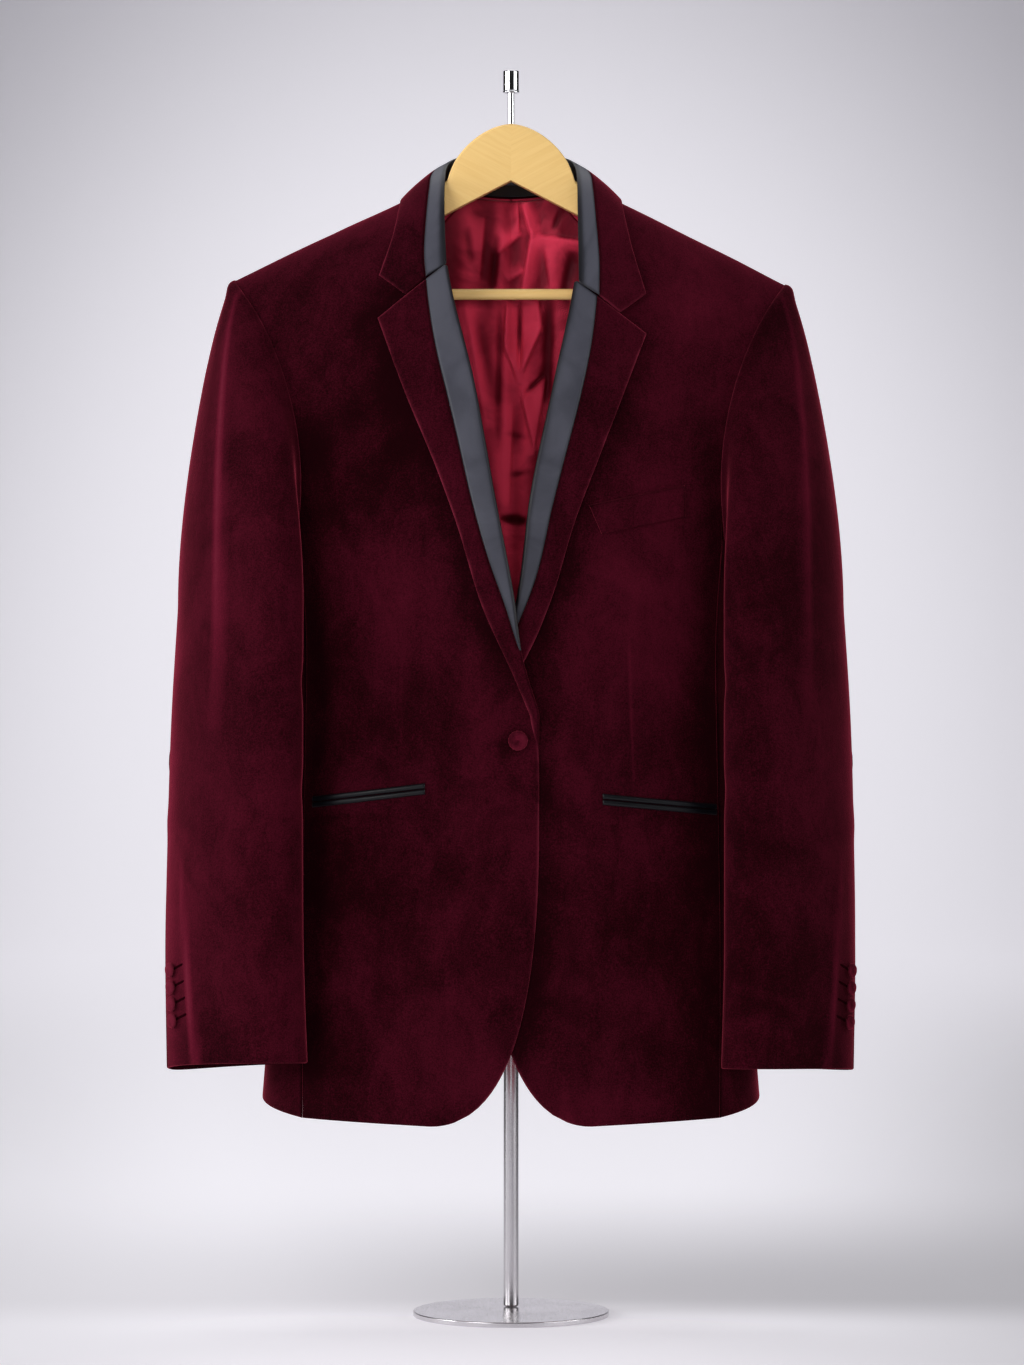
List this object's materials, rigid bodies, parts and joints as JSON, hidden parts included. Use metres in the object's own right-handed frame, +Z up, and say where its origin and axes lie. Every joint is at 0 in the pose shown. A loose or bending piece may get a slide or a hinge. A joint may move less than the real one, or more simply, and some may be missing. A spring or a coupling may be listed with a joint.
{
  "type": "velvet dinner jacket on hanger stand",
  "caption": "Velvet dinner jacket with satin-edged notched lapels and covered buttons, on a wooden hanger that hangs from a slim floor stand with a round base.",
  "frame": {"origin": "centre of the base plate's underside, on the floor", "axes": "+Z up along the pole, -Y towards the jacket's front, +X towards the viewer's right"},
  "size_m": [0.5617, 0.2183, 1.0254],
  "materials": {
    "velvet": "burgundy cotton velvet",
    "satin": "black satin facing",
    "lining": "crimson satin lining",
    "label": "plain black woven band",
    "wood": "clear satin varnish",
    "chrome": "polished",
    "steel": "brushed lengthwise"
  },
  "bodies": {
    "root": {"front_left": "velvet", "front_right": "velvet", "side_left": "velvet", "side_right": "velvet", "back_left": "velvet", "back_right": "velvet", "top_sleeve_left": "velvet", "top_sleeve_right": "velvet", "under_sleeve_left": "velvet", "under_sleeve_right": "velvet", "lapel_left": "velvet", "lapel_right": "velvet", "collar": "velvet", "chest_welt": "velvet", "front_button": "velvet", "cuff_button_left_1": "velvet", "cuff_button_left_2": "velvet", "cuff_button_left_3": "velvet", "cuff_button_left_4": "velvet", "cuff_button_right_1": "velvet", "cuff_button_right_2": "velvet", "cuff_button_right_3": "velvet", "cuff_button_right_4": "velvet", "lapel_satin_left": "satin", "lapel_satin_right": "satin", "collar_satin": "satin", "pocket_jet_upper_left": "satin", "pocket_jet_lower_left": "satin", "pocket_jet_upper_right": "satin", "pocket_jet_lower_right": "satin", "back_lining": "lining", "neck_label": "label", "hanger_left": "wood", "hanger_right": "wood", "trouser_bar": "wood", "hanger_shank": "chrome", "stand_rod": "chrome", "stand_socket": "chrome", "stand_pole": "steel", "stand_base": "steel"}
  },
  "joints": []
}
